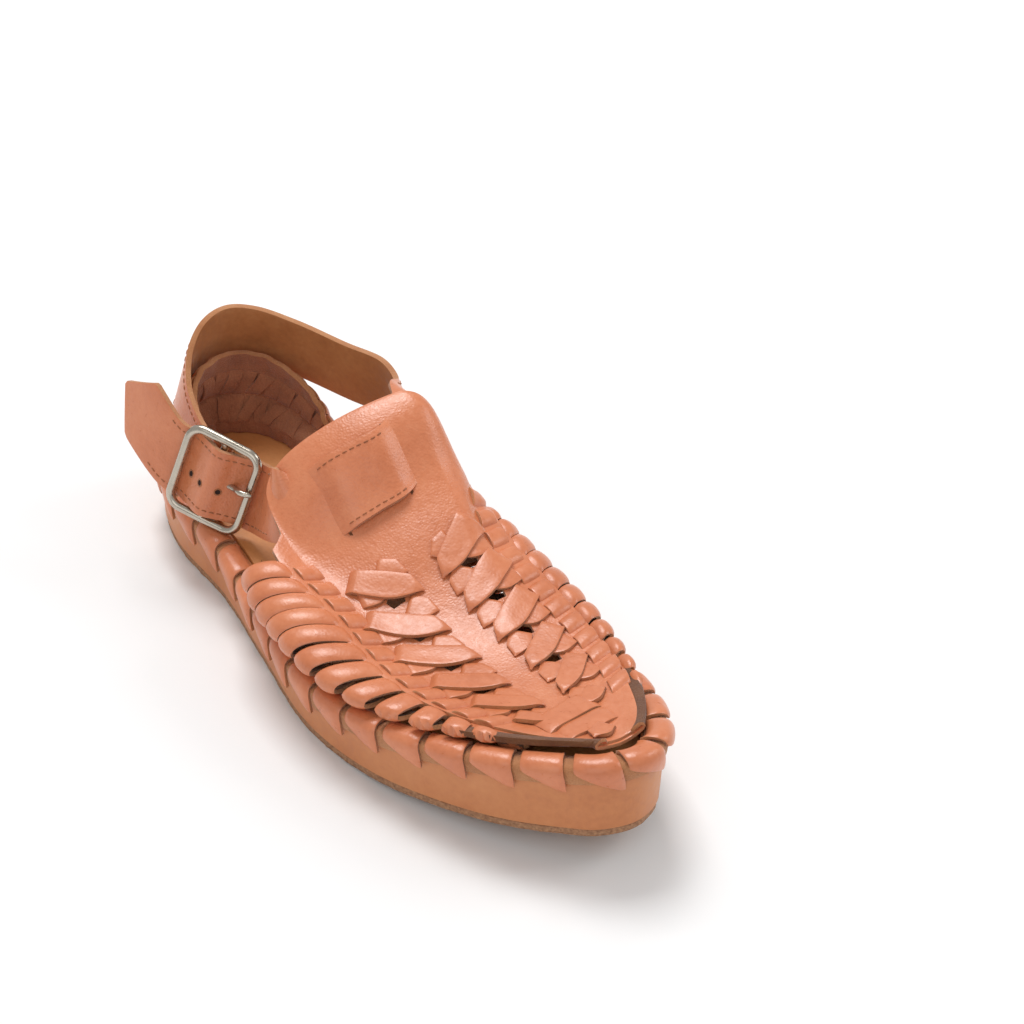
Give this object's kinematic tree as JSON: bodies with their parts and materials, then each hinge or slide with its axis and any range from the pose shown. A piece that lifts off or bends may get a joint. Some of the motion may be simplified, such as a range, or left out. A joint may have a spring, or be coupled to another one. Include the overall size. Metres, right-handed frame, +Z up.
{
  "type": "huarache sandal",
  "caption": "Right woven leather sandal with a whip-stitched platform sole, a tongue flap, a heel counter and an ankle strap buckled on the outer side.",
  "frame": {"origin": "on the floor under the middle of the sole's length, on the flat bottom of the outsole", "axes": "+X from heel to toe, +Y to the inner side of the foot, +Z up from the floor"},
  "size_m": [0.2848, 0.1073, 0.0829],
  "materials": {
    "outsole_rubber": "matt, rough cut edge",
    "sole_leather": "smooth, half matt",
    "insole_leather": "smooth, waxed",
    "upper_leather": "fine pebble grain, half gloss",
    "buckle_metal": "nickel plated, satin"
  },
  "bodies": {
    "root": {"outsole": "outsole_rubber", "midsole": "sole_leather", "insole": "insole_leather", "edge_lacing": "upper_leather", "vamp": "upper_leather", "heel_counter": "upper_leather", "ankle_strap": "upper_leather", "buckle_frame": "buckle_metal", "buckle_prong": "buckle_metal"}
  },
  "joints": []
}
